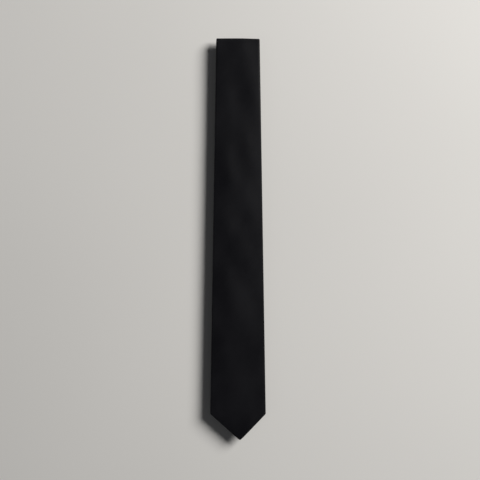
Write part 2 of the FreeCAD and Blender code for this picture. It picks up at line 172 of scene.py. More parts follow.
class Route:
    """The middle line of the cloth tube along one leg, round a fold and back along the other.

    toward is +1 for a fold at the +Y end, and first is the leg that the distance s starts on,
    first_run before the fold. puff is how far the front ripples up, and seed sets its pattern.
    skew is how far the outermost line of the fold is out of square. outside is +1 where the
    front is on the outside of the fold, and -1 where it is inside.
    """

    def __init__(self, fold_y, fold_z, toward, first, second, first_run, puff, seed, skew=0.0,
                 swells=()):
        self.fold_y, self.fold_z, self.toward = fold_y, fold_z, toward
        self.first, self.second = first, second
        self.run = first_run
        self.rise = abs(first.mid - second.mid) / 2
        self.upward = 1 if first.mid > second.mid else -1
        self.puff, self.seed, self.skew, self.swells = puff, seed, skew, swells
        self.bend = math.pi * self.rise
        self.outside = first.front * self.upward

    def turn(self, s):
        """How far round the fold each s is, from 0 to pi."""
        return np.clip((s - self.run) / self.bend, 0, 1) * math.pi

    def at(self, s):
        """y, z, and the direction that the front faces in y and z, at each s."""
        turn = self.turn(s)
        before = np.minimum(s - self.run, 0)
        after = np.maximum(s - self.run - self.bend, 0)
        y = self.fold_y + self.toward * (before - after + self.rise * np.sin(turn))
        z = self.fold_z + self.upward * self.rise * np.cos(turn)
        return (y, z, self.outside * self.toward * np.sin(turn),
                self.outside * self.upward * np.cos(turn))

    def half(self, s):
        """Half the tube's width, drawn in a little where the cloth turns over."""
        y, _, _, _ = self.at(np.minimum(s, self.run))
        first = self.first.half(y)
        y, _, _, _ = self.at(np.maximum(s, self.run + self.bend))
        second = self.second.half(y)
        drawn = DRAWN_IN * np.sin(self.turn(s)) ** 2
        return np.where(s < self.run + self.bend / 2, first, second) - drawn

    def away(self, s):
        """How far each s is from the bend, along either leg."""
        return np.maximum(np.abs(s - self.run - self.bend / 2) - self.bend / 2, 0)

    def crease(self, s):
        """1 at the fold, down to 0 where the pressed crease ends."""
        return 1 - smooth(self.away(s) / CREASE)

    def thickness(self, s):
        """How far the tube's front and back stand off its middle line. The outside of the fold
        is pressed thinner towards the crease. The inside swells a little just before the bend,
        over the space between the legs, and is pinched in it."""
        outer_pressed, inner_pinched, inner_swell = 0.3, 0.2, 0.14
        swell_full, swell_fades = 1.0, 2.5
        pinch = np.sin(self.turn(s))
        outer = HALF - outer_pressed * self.crease(s)
        near = 1 - smooth((self.away(s) - swell_full) / swell_fades)
        swell = inner_swell * (self.rise - HALF) * near
        inner = HALF + swell * (1 - pinch) - inner_pinched * pinch
        return (outer, inner) if self.outside > 0 else (inner, outer)

    def lean(self, x, half, s):
        """The outermost line of the fold isn't quite square to the tie: it lies skew short on
        one side, and further out on the other."""
        middle, slope = 0.4, 0.6
        return -self.toward * self.skew * (middle + slope * x / half) * np.sin(self.turn(s))

    def lift(self, x, half, s):
        """How far the soft front stands up above its pressed height. The second leg's hardly
        ripples, because it lies close to its neighbour."""
        second_less, calm_from, calm_over = 0.9, 25.0, 40.0
        edge_fade, fold_fade = 18.0, 16.0
        from_edge, from_fold = half - np.abs(x), self.run - s
        puff = self.puff * (1 - second_less * smooth((calm_from - from_fold) / calm_over))
        height = puff * ripple(x, s, self.seed) * smooth(from_edge / edge_fade)
        for at_x, at_fold, wide, long, high in self.swells:
            swell = np.exp(-((x - at_x) / wide) ** 2 - ((from_fold - at_fold) / long) ** 2)
            height = height + high * swell * smooth(from_fold / fold_fade)
        return height


# The gusset's front is inside its fold, next to the gap in which the fold turns, so it has no
# puff: a point that stands up into that gap is torn away when the fold opens.
BLADE_ROUTE = Route(FIRST_Y, FIRST_Z, 1, BLADE, UPPER, FIRST_Y - BLADE_TIP, puff=0.9, seed=1.0,
                    skew=0.4, swells=SWELLS)
GUSSET_ROUTE = Route(MIDDLE_Y, MIDDLE_Z, -1, UPPER, NECK, 200.0, puff=0.0, seed=2.0)
TAIL_ROUTE = Route(LAST_Y, LAST_Z, 1, TAIL, NECK, LAST_Y - TAIL_TIP, puff=0.1, seed=3.0)


def droop(y, z):
    """The overhanging point of the blade hangs down a little."""
    over = np.clip((MIDDLE_Y - y) / (MIDDLE_Y - BLADE_TIP), 0, 1)
    return np.where(z > (BLADE.mid + UPPER.mid) / 2, -DROOP * over ** 2, 0.0)


def ripple(x, s, seed):
    """Soft unevenness of pressed cloth over its interlining, from 0 to 1: broad pillows, slanting
    ridges and a little fine waver. Wavelengths are in mm."""
    a, b, c = 0.7 * seed, 1.9 * seed, 2.6 * seed
    broad = np.sin(s / 19 + x / 11 + a) * np.sin(s / 27 - x / 15 + b)
    slant = np.sin((s + 1.5 * x) / 11.5 + 1.7 * np.sin(s / 60 + c) - 1.9)
    fine = np.sin(s / 8.3 - x / 6.1 + b) * np.sin(s / 5.7 + x / 9.4 + c)
    return 0.5 + 0.2 * broad + 0.27 * slant + 0.03 * fine


def flat_half(half):
    """Half the width of the flat between the rolled edges, where the tube is half wide."""
    return half - ROLL - CLOTH / 2


def fall(x, half, flat):
    """How much lower the front is at x than along its middle: a soft crown with shoulders, less
    where it is pressed flat."""
    x, edge = np.abs(x), flat_half(half)
    return (1 - flat) * (CROWN * np.minimum(x / edge, 1) ** 2
                         + SHOULDER * smooth((x - edge + SHOULDER_WIDE) / SHOULDER_WIDE))


def pressed(route, s, from_point):
    """How flat the tube is pressed at s, from 0 to 1: at its point and towards the crease, and
    wholly where the front is inside the fold."""
    outside, inside, point = 0.85, 1.0, 0.6
    at_crease = (outside if route.outside > 0 else inside) * (1 - smooth(route.away(s) / FLATTENED))
    return np.maximum(point * (1 - smooth(from_point / PRESSED)), at_crease)


# ---------------------------------------------------------------- meshes

def material_of(obj, material):
    """Put a piece's one material on it."""
    obj.data.materials.append(material)


def mesh_object(name, points, faces, uvs=None):
    """A mesh piece from points in millimetres, with one UV pair per point, in metres."""
    mesh = bpy.data.meshes.new(name)
    mesh.from_pydata([tuple(p) for p in np.asarray(points, float) * MM], [], faces)
    if uvs is not None:
        layer = mesh.uv_layers.new(name="cloth")
        corners = np.zeros(len(mesh.loops), dtype=int)
        mesh.loops.foreach_get("vertex_index", corners)
        layer.data.foreach_set("uv", (np.asarray(uvs, float) * MM)[corners].ravel())
    obj = bpy.data.objects.new(name, mesh)
    bpy.context.scene.collection.objects.link(obj)
    mesh.shade_smooth()
    return obj


def thicken(obj, thickness):
    """Give a sheet its real thickness, half to each side, with closed edges."""
    solid = obj.modifiers.new("thickness", "SOLIDIFY")
    solid.thickness = thickness * MM
    solid.offset = 0.0
    solid.use_rim = True
    depsgraph = bpy.context.evaluated_depsgraph_get()
    mesh = bpy.data.meshes.new_from_object(obj.evaluated_get(depsgraph),
                                           preserve_all_data_layers=True, depsgraph=depsgraph)
    obj.modifiers.clear()
    obj.data = mesh


def grid_faces(rows, columns, around=False):
    """Quads of a grid of rows x columns points, joined across its last column if around."""
    faces = []
    for i in range(rows - 1):
        for j in range(columns if around else columns - 1):
            k = (j + 1) % columns
            faces.append((i * columns + j, i * columns + k,
                          (i + 1) * columns + k, (i + 1) * columns + j))
    return faces


def tube_faces(rings, sides):
    """Faces of a tube made of closed rings of points, with a face over each end."""
    faces = grid_faces(rings, sides, around=True)
    faces.append(tuple(range(sides))[::-1])
    faces.append(tuple(range((rings - 1) * sides, rings * sides)))
    return faces


# ---------------------------------------------------------------- the panels of the shell

def cross_stations(aside_share):
    """Where the mesh has its columns, from the flap that lies under, round the front, to the
    flap that lies over. Each is (part, side, place), and places go from 0 to 1 away from the
    front, or from -1 to 1 across it. aside_share is the place of the tip, which gets a column.
    """
    flap = (0.05, 0.12, 0.2, 0.3, 0.4, 0.5, 0.6, 0.64, 0.68, 0.71, 0.735, 0.76, 0.8, 0.86, 0.91,
            0.96, 1.0)
    roll = np.linspace(0, 1, 8)[1:]
    left = [("flap", -1, p) for p in flap[::-1]] + [("roll", -1, t) for t in roll[::-1]]
    right = [("roll", 1, t) for t in roll] + [("flap", 1, p) for p in flap]
    front = list(np.linspace(-1, aside_share, 15)) + list(np.linspace(aside_share, 1, 15)[1:])
    return left + [("front", 0, q) for q in front] + right


def flap_x(side, place, edge):
    """x of a place on a flap, evenly spaced near its end where the two flaps lap."""
    near, end = FLAP_NEAR[side], LAP_UNDER if side < 0 else -LAP_OVER
    return np.where(place < COARSE, side * edge + (near - side * edge) * place / COARSE,
                    near + (end - near) * (place - COARSE) / (1 - COARSE))


def across(station, half):
    """The cloth coordinate c of a station, where the tube is half wide."""
    part, side, place = station
    edge = flat_half(half)
    if part == "front":
        return place * edge
    if part == "roll":
        return side * (edge + ROLL * math.pi * place)
    return side * (edge + ROLL * math.pi + abs(side * edge - flap_x(side, place, edge)))


def section(station, half, thickness, depth, flat, point, fold, lift):
    """x and height towards the front, of a station at some depth inside the cloth tube. flat,
    point and fold, from 0 to 1, are how far it is pressed flat there, and how near its point and
    its fold are. lift gives how far the front stands up at x."""
    roll_in = 0.6           # the share of the depth that a rolled edge also comes in by
    part, side, place = station
    edge = flat_half(half)
    front = (thickness[0] - CLOTH / 2) * (1 - POINT_THIN * point) - depth
    back = thickness[1] - CLOTH / 2 - depth
    if part == "front":
        x = place * edge
        return x, front - fall(x, half, flat) + lift(x)
    if part == "roll":
        angle = math.pi * place
        top = front - fall(edge, half, flat) + lift(side * edge)
        x = side * (edge + (ROLL - roll_in * depth) * math.sin(angle))
        return x, (top - back) / 2 + (top + back) / 2 * math.cos(angle)
    x = flap_x(side, place, edge)
    if side < 0:
        # The flap underneath dips under the one on top, later and more steeply near the fold.
        dips_from, dips_over = -4.6 + 2.3 * fold, 2.4 - 1.5 * fold
        lap = LAP_DEPTH * smooth((x - dips_from) / dips_over)
    else:
        # The end of the flap on top is tucked in a little.
        tucked_from, tucked_over, tucked = -1.0, 0.5, 0.16
        lap = tucked * smooth((tucked_from - x) / tucked_over)
    return x, lap - back


def corner_cut(c, half, point, aside):
    """How far along the cloth its slanting end lies from the tip, at c across it."""
    if c < aside:
        away, slope = aside - c, point / (half + aside)
    else:
        away, slope = c - aside, point / (half - aside)
    return (math.hypot(away, TIP_ROUND) - TIP_ROUND) * slope


# Rows of mesh at a panel's two kinds of end: distance from the end, and depth under the front.
# A hem's rows come first round the turned edge, from inside the tube.
HEM_ROWS = ((HEM, HEM_DEPTH), (2.6, HEM_DEPTH), (1.3, HEM_DEPTH), (0.5, HEM_DEPTH - 0.01),
            (0.15, 0.40), (0.02, 0.25), (0.15, 0.10), (0.5, 0.01))
SEAM_ROWS = ((0.19, 0.34), (0.20, 0.16), (0.31, 0.05), (0.62, 0.0))
END_ROW = 1.2               # where the even rows start, past those


def rows_over_fold(route, first, last, rows, reach, close_rows, round_rows):
    """s of the rows of a mesh from first to last: even along each leg, closer within reach of
    the bend, and close round it."""
    over = route.run + route.bend
    return [*np.linspace(first, route.run - reach, rows[0]),
            *np.linspace(route.run - reach, route.run, close_rows)[1:],
            *(route.run + route.bend * np.linspace(0, 1, round_rows)[1:]),
            *np.linspace(over, over + reach, close_rows)[1:],
            *np.linspace(over + reach, last, rows[1])[1:]]


def panel(name, route, start, end, rows, tip=None):
    """One panel of the shell, folded round into a tube and laid along its route.

    start and end give s at c across the cloth. rows is how many rows each leg has. tip is
    (point, aside) where the panel starts in a point.
    """
    tip_half = float(route.half(np.array([tip[0]]))[0]) if tip else None
    share = tip[1] / flat_half(tip_half) if tip else 0.0
    begin = HEM_ROWS if tip else SEAM_ROWS
    lap_narrow, lap_widens = 3.0, 4.0       # from the bend: where the lap's groove is narrow
    flap_ripple, flap_fade = 0.18, 0.3      # share of the front's, and where it reaches it
    points, cloth = [], []
    for station in cross_stations(share):
        at_start = tip_half if tip else float(route.half(np.array([start(0)]))[0])
        s0 = start(across(station, at_start))
        s1 = end(across(station, float(route.half(np.array([end(0)]))[0])))
        body = rows_over_fold(route, s0 + END_ROW, s1 - END_ROW, rows, reach=9.0, close_rows=9,
                              round_rows=23)
        s = np.array([s0 + ds for ds, _ in begin] + body + [s1 - ds for ds, _ in SEAM_ROWS[::-1]])
        depth = np.array([d for _, d in begin] + [0.0] * len(body)
                         + [d for _, d in SEAM_ROWS[::-1]])
        half = route.half(s)
        from_point = s - s0 if tip else np.full_like(s, PRESSED)
        point = 1 - smooth(from_point / PRESSED)
        flat = pressed(route, s, from_point)
        fold = 1 - smooth((route.away(s) - lap_narrow) / lap_widens)
        x, height = section(station, half, route.thickness(s), depth, flat, point, fold,
                            lambda x: route.lift(x, half, s))
        part, _, place = station
        outward = {"front": 1, "roll": 1 - place, "flap": 0}[part]
        if part == "flap":
            height = height + (flap_ripple * route.puff * ripple(x, s, route.seed + 2)
                               * smooth(place / flap_fade))
        y, z, ny, nz = route.at(s)
        y = y + ny * height + outward * route.lean(x, half, s)
        z = z + nz * height
        points.append(np.stack([x, y, z + droop(y, z)], 1))
        cloth.append(np.stack([across(station, half), s], 1))
    points, cloth = np.stack(points, 1), np.stack(cloth, 1)
    faces = grid_faces(*points.shape[:2])
    obj = mesh_object(name, points.reshape(-1, 3), faces, cloth.reshape(-1, 2))
    thicken(obj, CLOTH)
    return obj


def seam_line(route, leg, y_middle, slope):
    """Distance s of a seam that crosses the given leg on the bias, at c across the cloth."""
    toward = route.toward
    if leg is route.first:
        return lambda c: route.run + toward * (y_middle + slope * c - route.fold_y)
    return lambda c: route.run + route.bend - toward * (y_middle + slope * c - route.fold_y)


def build_shell(cloth):
    """The three panels of the shell, which meet at two slanting seams."""
    blade_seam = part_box("blade_gusset_seam")
    tail_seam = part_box("gusset_tail_seam")
    y_blade = (blade_seam[0].y + blade_seam[1].y) / 2 / MM
    y_tail = (tail_seam[0].y + tail_seam[1].y) / 2 / MM

    blade = panel("blade_panel", BLADE_ROUTE, blade_tip,
                  seam_line(BLADE_ROUTE, UPPER, y_blade, -1), (170, 110),
                  (BLADE_POINT, BLADE_ASIDE))
    gusset = panel("gusset_panel", GUSSET_ROUTE, seam_line(GUSSET_ROUTE, UPPER, y_blade, -1),
                   seam_line(GUSSET_ROUTE, NECK, y_tail, 1), (60, 90))
    tail = panel("tail_panel", TAIL_ROUTE, tail_tip, seam_line(TAIL_ROUTE, NECK, y_tail, 1),
                 (140, 80), (TAIL_POINT, 0.0))
    for obj in (blade, gusset, tail):
        material_of(obj, cloth)
    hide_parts("blade_shell", "blade_shell_fold", "blade_shell_upper")
    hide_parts("gusset_shell_upper", "gusset_shell_fold", "gusset_shell_neck")
    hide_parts("tail_shell_neck", "tail_shell_fold", "tail_shell")
    over_first(blade)
    over_middle(gusset)
    over_last(tail)


# ---------------------------------------------------------------- pieces laid over the folds

def over_fold(obj):
    """Bake a piece's placement into its mesh; it already turns round its fold in the gap between
    its two layers.
    """
    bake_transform(obj)


def over_first(obj):
    """Bake a piece that lies over the first fold, which opens the blade."""
    over_fold(obj)


def over_middle(obj):
    """Bake a piece that lies over the middle fold, between the upper blade and the neck."""
    over_fold(obj)


def over_last(obj):
    """Bake a piece that lies over the last fold, which opens the tail."""
    over_fold(obj)


# ---------------------------------------------------------------- inside the tube

def inner_sheet(name, route, tip, margin, end, inset, level, thickness, rows):
    """A sheet inside the tube, under its front. It starts a margin from tip, which gives s of the
    shell's slanting end. level gives its height towards the front from s, the distance from that
    end, and how far the front falls and lifts there. With two row counts the sheet goes over the
    fold, with one it stops before it."""
    points, cloth = [], []
    widest_at = 20.0        # from the sheet's tip
    edge = float(route.half(np.array([tip(0.0) + margin + widest_at]))[0]) - inset
    for q in np.linspace(-1, 1, 19):
        s0 = tip(q * edge) + margin
        if len(rows) == 1:
            s = np.linspace(s0, end, rows[0])
        else:
            s = np.array(rows_over_fold(route, s0, end, rows, reach=5.0, close_rows=5,
                                        round_rows=17))
        half = route.half(s)
        x = q * (half - inset)
        y, z, ny, nz = route.at(s)
        from_point = s - s0 + margin
        height = level(s, from_point, fall(x, half, pressed(route, s, from_point)),
                       route.lift(x, half, s))
        y = y + ny * height
        z = z + nz * height
        points.append(np.stack([x, y, z + droop(y, z)], 1))
        cloth.append(np.stack([x, s], 1))
    points, cloth = np.stack(points, 1), np.stack(cloth, 1)
    obj = mesh_object(name, points.reshape(-1, 3), grid_faces(*points.shape[:2]),
                      cloth.reshape(-1, 2))
    thicken(obj, thickness)
    return obj


def blade_tip(c):
    """s of the blade's slanting end, at c across it."""
    return corner_cut(c, BLADE_WIDE / 2, BLADE_POINT, BLADE_ASIDE)


def tail_tip(c):
    """s of the tail's slanting end, at c across it."""
    return corner_cut(c, TAIL_WIDE / 2, TAIL_POINT, 0.0)


def build_interlining(wool):
    """The interlining, in three lengths that each go over one fold."""
    clear_of_cloth, clear_of_next = 0.03, 0.3
    join_upper = (FIRST_Y - MIDDLE_Y) / 2
    join_neck = (LAST_Y - MIDDLE_Y) / 2
    for name, route, tip, join, rows, over, nodes in (
            ("blade_interlining_wool", BLADE_ROUTE, blade_tip, join_upper, (90, 45), over_first,
             ("blade_interlining", "interlining_first_fold")),
            ("neck_interlining_wool", GUSSET_ROUTE,
             lambda c: GUSSET_ROUTE.run - join_upper - WOOL_MARGIN, join_neck, (45, 45),
             over_middle, ("upper_interlining", "interlining_middle_fold")),
            ("tail_interlining_wool", TAIL_ROUTE, tail_tip, join_neck, (75, 45), over_last,
             ("tail_interlining", "interlining_last_fold", "neck_interlining"))):
        def under_front(s, _from_point, lower, _lift, route=route):
            return route.thickness(s)[0] - CLOTH - clear_of_cloth - WOOL / 2 - lower
        end = route.run + route.bend + join - clear_of_next
        strip = inner_sheet(name, route, tip, WOOL_MARGIN, end, WOOL_INSET, under_front, WOOL,
                            rows)
        material_of(strip, wool)
        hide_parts(*nodes)
        over(strip)


def build_tipping(satin):
    """The lining behind each point: its edge is under the hem, and the flaps lie over it."""
    between = 0.25          # from the middle of the front's cloth to the lining under the hem
    clear_of_hem, dips_over = 0.3, 2.8
    inside_level, lowest = -0.06, -0.575

    def tucked(_s, from_point, lower, lift):
        point = 1 - smooth(from_point / PRESSED)
        under_hem = SKIN * (1 - POINT_THIN * point) - between + lift
        inside = smooth((from_point - HEM - clear_of_hem) / dips_over)
        return np.maximum(under_hem + (inside_level - under_hem) * inside - lower, lowest)

    for name, route, tip, node, body, end in (
            ("blade_tipping_satin", BLADE_ROUTE, blade_tip, "blade_tipping", "blade", 115),
            ("tail_tipping_satin", TAIL_ROUTE, tail_tip, "tail_tipping", "tail", 75)):
        lining = inner_sheet(name, route, tip, SATIN_MARGIN, end, SATIN_INSET, tucked, SATIN,
                             (70,))
        material_of(lining, satin)
        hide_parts(node)
        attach(lining, body)


# ---------------------------------------------------------------- thread

def tube(path, radius, sides=7):
    """Points and faces of a closed round thread along a path."""
    path = np.asarray(path, float)
    ahead = np.gradient(path, axis=0)
    ahead /= np.linalg.norm(ahead, axis=1)[:, None]
    up = np.array([0.0, 0.0, 1.0])
    points = []
    for place, way in zip(path, ahead):
        side = np.cross(way, up)
        if np.linalg.norm(side) < 1e-3:
            side = np.array([1.0, 0.0, 0.0])
        side /= np.linalg.norm(side)
        rise = np.cross(side, way)
        for k in range(sides):
            angle = 2 * math.pi * k / sides
            points.append(place + radius * (math.cos(angle) * side + math.sin(angle) * rise))
    return points, tube_faces(len(path), sides)


def threads(name, paths, radius, material, body, node):
    """One piece made of several runs of thread."""
    points, faces = [], []
    for path in paths:
        more, rings = tube(path, radius)
        faces += [tuple(i + len(points) for i in f) for f in rings]
        points += more
    obj = mesh_object(name, points, faces)
    material_of(obj, material)
    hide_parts(node)
    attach(obj, body)
    return obj


def slip_stitches(layer, y_from, y_to):
    """Small slanting stitches over the edge of the flap on top, at a nearly even pitch."""
    pitch, pitch_wobble = 12.0, 0.5
    slant, slant_wobble = 0.5, 0.15
    count = int((y_to - y_from) // pitch) + 1
    # x and height off the back: out of the flap underneath, over the edge and into the one on top
    profile = ((-2.5, -0.43), (-2.25, -0.3), (-1.85, -0.14), (-1.5, 0.03), (-1.15, 0.07),
               (-0.75, 0.04), (-0.5, -0.1))
    paths = []
    for i in range(count):
        y = y_from + i * pitch + pitch_wobble * math.sin(2.3 * i)
        lean = slant + slant_wobble * math.sin(1.7 * i)
        paths.append([(x, y + lean * (x + LAP_OVER), layer.back(lift)) for x, lift in profile])
    return paths


def bar_tack(layer, y):
    """A dense zigzag of thread across the end of the flap opening, in one run."""
    x, width, long, turns = -0.6, 7.0, 1.5, 26
    sunk, shoulder, crest = -0.12, 0.16, 0.26    # heights off the back along each crossing
    shoulder_at = 0.55                           # the share of the way out to its ends
    path = []
    for i in range(turns * 2 + 1):
        at = x + width * (i / (2 * turns) - 0.5)
        side = 0.5 if i % 2 else -0.5
        near = side * long * shoulder_at
        path.append((at, y + side * long, layer.back(sunk)))
        if i < turns * 2:
            path.append((at + width / (8 * turns), y + near, layer.back(shoulder)))
            path.append((at + width / (4 * turns), y, layer.back(crest)))
            path.append((at + 3 * width / (8 * turns), y - near, layer.back(shoulder)))
    return path


def seam_stitches(layer, y_middle, slope):
    """The running stitch that shows at the bottom of the seam between two panels."""
    count, from_edge, sunk, ends_down = 24, 1.2, 0.27, 0.1
    shows = 0.42            # about the share of the pitch that each stitch covers
    half = float(layer.half(y_middle))
    reach = shows * half / count
    paths = []
    for i in range(count):
        x = (half - from_edge) * (2 * (i + 0.5) / count - 1)
        front = layer.mid + layer.front * (HALF - sunk - fall(x, half, flat=0.0))
        paths.append([(x + t * reach, y_middle + slope * (x + t * reach),
                       front - layer.front * ends_down * t * t)
                      for t in (-1.0, -0.5, 0.0, 0.5, 1.0)])
    return paths


def build_threads(thread):
    """The stitches that close the back, the bar tacks at its openings, and the panels' seams."""
    blade_tack, tail_tack = BLADE_TIP + 60, TAIL_TIP + 43
    past_tack, from_fold, from_middle = 6, 6, 8
    for layer, node, body, low, high in (
            (BLADE, "blade_slip_stitch", "blade", blade_tack + past_tack, FIRST_Y - from_fold),
            (UPPER, "upper_slip_stitch", "upper_blade", MIDDLE_Y + from_middle,
             FIRST_Y - from_fold),
            (NECK, "neck_slip_stitch", "neck", MIDDLE_Y + from_middle, LAST_Y - from_fold),
            (TAIL, "tail_slip_stitch", "tail", tail_tack + past_tack, LAST_Y - from_fold)):
        paths = slip_stitches(layer, low, high)
        threads(node + "es", paths, SLIP_THREAD, thread, body, node)
    for layer, node, body, y in (
            (BLADE, "blade_bar_tack", "blade", blade_tack),
            (TAIL, "tail_bar_tack", "tail", tail_tack)):
        threads(node + "_zigzag", [bar_tack(layer, y)], TACK_THREAD, thread, body, node)
    for layer, node, body, slope in ((UPPER, "blade_gusset_seam", "upper_blade", -1),
                                     (NECK, "gusset_tail_seam", "neck", 1)):
        low, high = box_mm(node)
        paths = seam_stitches(layer, (low[1] + high[1]) / 2, slope)
        threads(node + "_stitches", paths, SEAM_THREAD, thread, body, node)


# ---------------------------------------------------------------- loop and labels on the back

def pressed_ring(half, thick):
    """The section of a tube pressed flat: (place along, height) round it, half long each way."""
    sides = 40
    flat_from, flat_until = 0.55, 1 / 1.6   # sine and cosine of the angle at its corners
    ring = []
    for k in range(sides):
        angle = 2 * math.pi * (k + 0.5) / sides
        c, n = math.cos(angle), math.sin(angle)
        along = math.copysign(half - thick / 2, c) * min(1, abs(c) / flat_until) + c * thick / 2
        ring.append((along, n / max(abs(n), flat_from) * thick / 2))
    return ring


def build_keeper(cloth, thread):
    """The keeper loop: a narrow tube of the same cloth, pressed flat, standing off the back,
    with a tack at each end."""
    thick, clear = 0.72, 0.05
    stands_up, from_end, over = 0.42, 1.25, 5.0     # how its middle stands further off
    narrower = 0.05                                 # the share that it narrows by there
    seam_deep, seam_wide = 0.1, 0.5                 # the groove of its own seam
    other_side = 30         # keeps the threads of its two faces apart
    low, high = box_mm("keeper_loop")
    middle = (low[1] + high[1]) / 2
    wide = (high[0] - low[0]) / 2
    xs = np.linspace(-wide, wide, 61)
    rise = stands_up * smooth((wide - np.abs(xs) - from_end) / over)
    ring = pressed_ring((high[1] - low[1]) / 2, thick)
    points, cloth_uv = [], []
    for x, up in zip(xs, rise):
        pinch = 1 - narrower * math.cos(math.pi * x / (2 * wide)) ** 2
        for along, height in ring:
            groove = seam_deep * math.exp(-(along / seam_wide) ** 2) if height > 0 else 0.0
            lift = clear + up + thick / 2 + height - groove
            points.append((x, middle + along * pinch, BLADE.back(lift)))
            cloth_uv.append((x, along + (other_side if height > 0 else 0)))
    loop = mesh_object("keeper_loop_cloth", points, tube_faces(len(xs), len(ring)), cloth_uv)
    material_of(loop, cloth)
    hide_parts("keeper_loop")
    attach(loop, "blade")
    tack_in, pitch, top = 1.4, 1.45, clear + thick + 0.06
    stitch = ((-0.75, -0.35, -0.2), (-0.4, -0.2, 0), (0, 0, 0.03), (0.4, 0.2, 0),
              (0.75, 0.35, -0.2))
    for side, node in ((1, "keeper_tack_left"), (-1, "keeper_tack_right")):
        x = side * (wide - tack_in)
        paths = []
        for i in range(6):
            y = middle + (i - 2.5) * pitch
            paths.append([(x + dx, y + dy, BLADE.back(top + up)) for dx, dy, up in stitch])
        threads(node + "_stitches", paths, KEEPER_THREAD, thread, "blade", node)


def label(name, node, body, turned, base, material):
    """A blank woven label, its two ends turned under, lying base off the back of the blade."""
    low, high = box_mm(node)
    left, right, y_low, y_high = low[0], high[0], low[1], high[1]
    upper = base + 0.2
    waves, deepest = 0.05, -0.03
    # One end as (distance in from the end, height), from under the label round to its top
    end = [(turned, base), (turned * 0.4, base), (0.3, base + 0.01), (0.05, base + 0.1),
           (0.3, upper - 0.01)]
    profile = [(left + x, lift) for x, lift in end]
    profile += [(x, upper) for x in np.linspace(left + 0.9, right - 0.9, 34)]
    profile += [(right - x, lift) for x, lift in end[::-1]]
    ys = np.linspace(y_low, y_high, 22)
    along = np.concatenate([[0], np.cumsum([math.dist(a, b) for a, b in
                                            zip(profile, profile[1:])])])
    points, cloth_uv = [], []
    for y in ys:
        for (x, lift), d in zip(profile, along):
            swell = waves * math.sin(0.23 * x + 0.4) * math.sin(0.3 * y) if lift == upper else 0
            points.append((x, y, BLADE.back(lift + max(swell, deepest))))
            cloth_uv.append((d, y - y_low))
    obj = mesh_object(name, points, grid_faces(len(ys), len(profile)), cloth_uv)
    thicken(obj, LABEL)
    material_of(obj, material)
    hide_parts(node)
    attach(obj, body)


def build_labels(ribbon, thread):
    """The two blank labels, and the stitching at the ends of the wider one."""
    label("maker_label_ribbon", "maker_label_blank", "blade", turned=4.0, base=0.16,
          material=ribbon)
    label("care_label_ribbon", "care_label_blank", "blade", turned=2.0, base=0.12,
          material=ribbon)
    low, high = box_mm("maker_label_blank")
    from_end, from_side, count = 1.5, 2.2, 9
    reach, slant, top, ends_down = 0.85, 0.1, 0.49, 0.12
    for side, node in ((1, "label_stitch_left"), (-1, "label_stitch_right")):
        x = side * ((high[0] - low[0]) / 2 - from_end)
        paths = []
        for i in range(count):
            y = low[1] + from_side + i * (high[1] - low[1] - 2 * from_side) / (count - 1)
            paths.append([(x + slant * t, y + reach * t, BLADE.back(top - ends_down * t * t))
                          for t in (-1.0, -0.6, 0.0, 0.6, 1.0)])
        threads(node + "es", paths, LABEL_THREAD, thread, "blade", node)


# ---------------------------------------------------------------- materials

def new_material(name):
    """A material, its node tree and its shader."""
    material = bpy.data.materials.new(name)
    material.use_nodes = True
    tree = material.node_tree
    return material, tree, tree.nodes["Principled BSDF"]


def add(tree, kind, **values):
    """A shader node with its sockets, by name or number, or its own settings, set."""
    node = tree.nodes.new(kind)
    for key, value in values.items():
        if key in node.inputs:
            node.inputs[key].default_value = value
        else:
            setattr(node, key, value)
    return node


def cloth_coordinates(tree, turn):
    """Places on the flat cloth, in metres, turned by an angle to lie along the threads."""
    place = add(tree, "ShaderNodeUVMap", uv_map="cloth")
    mapping = add(tree, "ShaderNodeMapping")
    mapping.inputs["Rotation"].default_value = (0, 0, turn)
    tree.links.new(place.outputs["UV"], mapping.inputs["Vector"])
    return mapping.outputs["Vector"]


WAVE_PERIOD = 0.314         # metres from band to band in a wave texture of scale 1


def bands(tree, vector, period, direction, distort):
    """Even threads of the given period in metres, as a wave."""
    wave = add(tree, "ShaderNodeTexWave", Scale=WAVE_PERIOD / period, Distortion=distort)
    wave.bands_direction = direction
    wave.inputs["Detail"].default_value = 1.0
    wave.inputs["Detail Scale"].default_value = 0.2
    tree.links.new(vector, wave.inputs["Vector"])
    return wave.outputs["Fac"]


def math_node(tree, operation, a, b):
    """A sum or product of two values, each a number or a socket."""
    node = tree.nodes.new("ShaderNodeMath")
    node.operation = operation
    for socket, value in zip(node.inputs, (a, b)):
        if isinstance(value, (int, float)):
            socket.default_value = value
        else:
            tree.links.new(value, socket)
    return node.outputs[0]


def mixed_values(tree, *terms):
    """The sum of (value, weight) terms."""
    total = None
    for value, weight in reversed(terms):
        part = math_node(tree, "MULTIPLY", value, weight)
        total = part if total is None else math_node(tree, "ADD", part, total)
    return total


def spread(tree, value, low, high, start=0.0, end=1.0):
    """Map start to end onto low to high."""
    node = add(tree, "ShaderNodeMapRange")
    for name, limit in (("From Min", start), ("From Max", end), ("To Min", low), ("To Max", high)):
        node.inputs[name].default_value = limit
    tree.links.new(value, node.inputs["Value"])
    return node.outputs["Result"]


def blend_colours(tree, value, dark, light):
    """Dark up to a quarter, light from three quarters, and even between them."""
    ramp = add(tree, "ShaderNodeValToRGB")
    ramp.color_ramp.elements[0].color = (*dark, 1)
    ramp.color_ramp.elements[1].color = (*light, 1)
    ramp.color_ramp.elements[0].position = 0.25
    ramp.color_ramp.elements[1].position = 0.75
    tree.links.new(value, ramp.inputs["Fac"])
    return ramp.outputs["Color"]


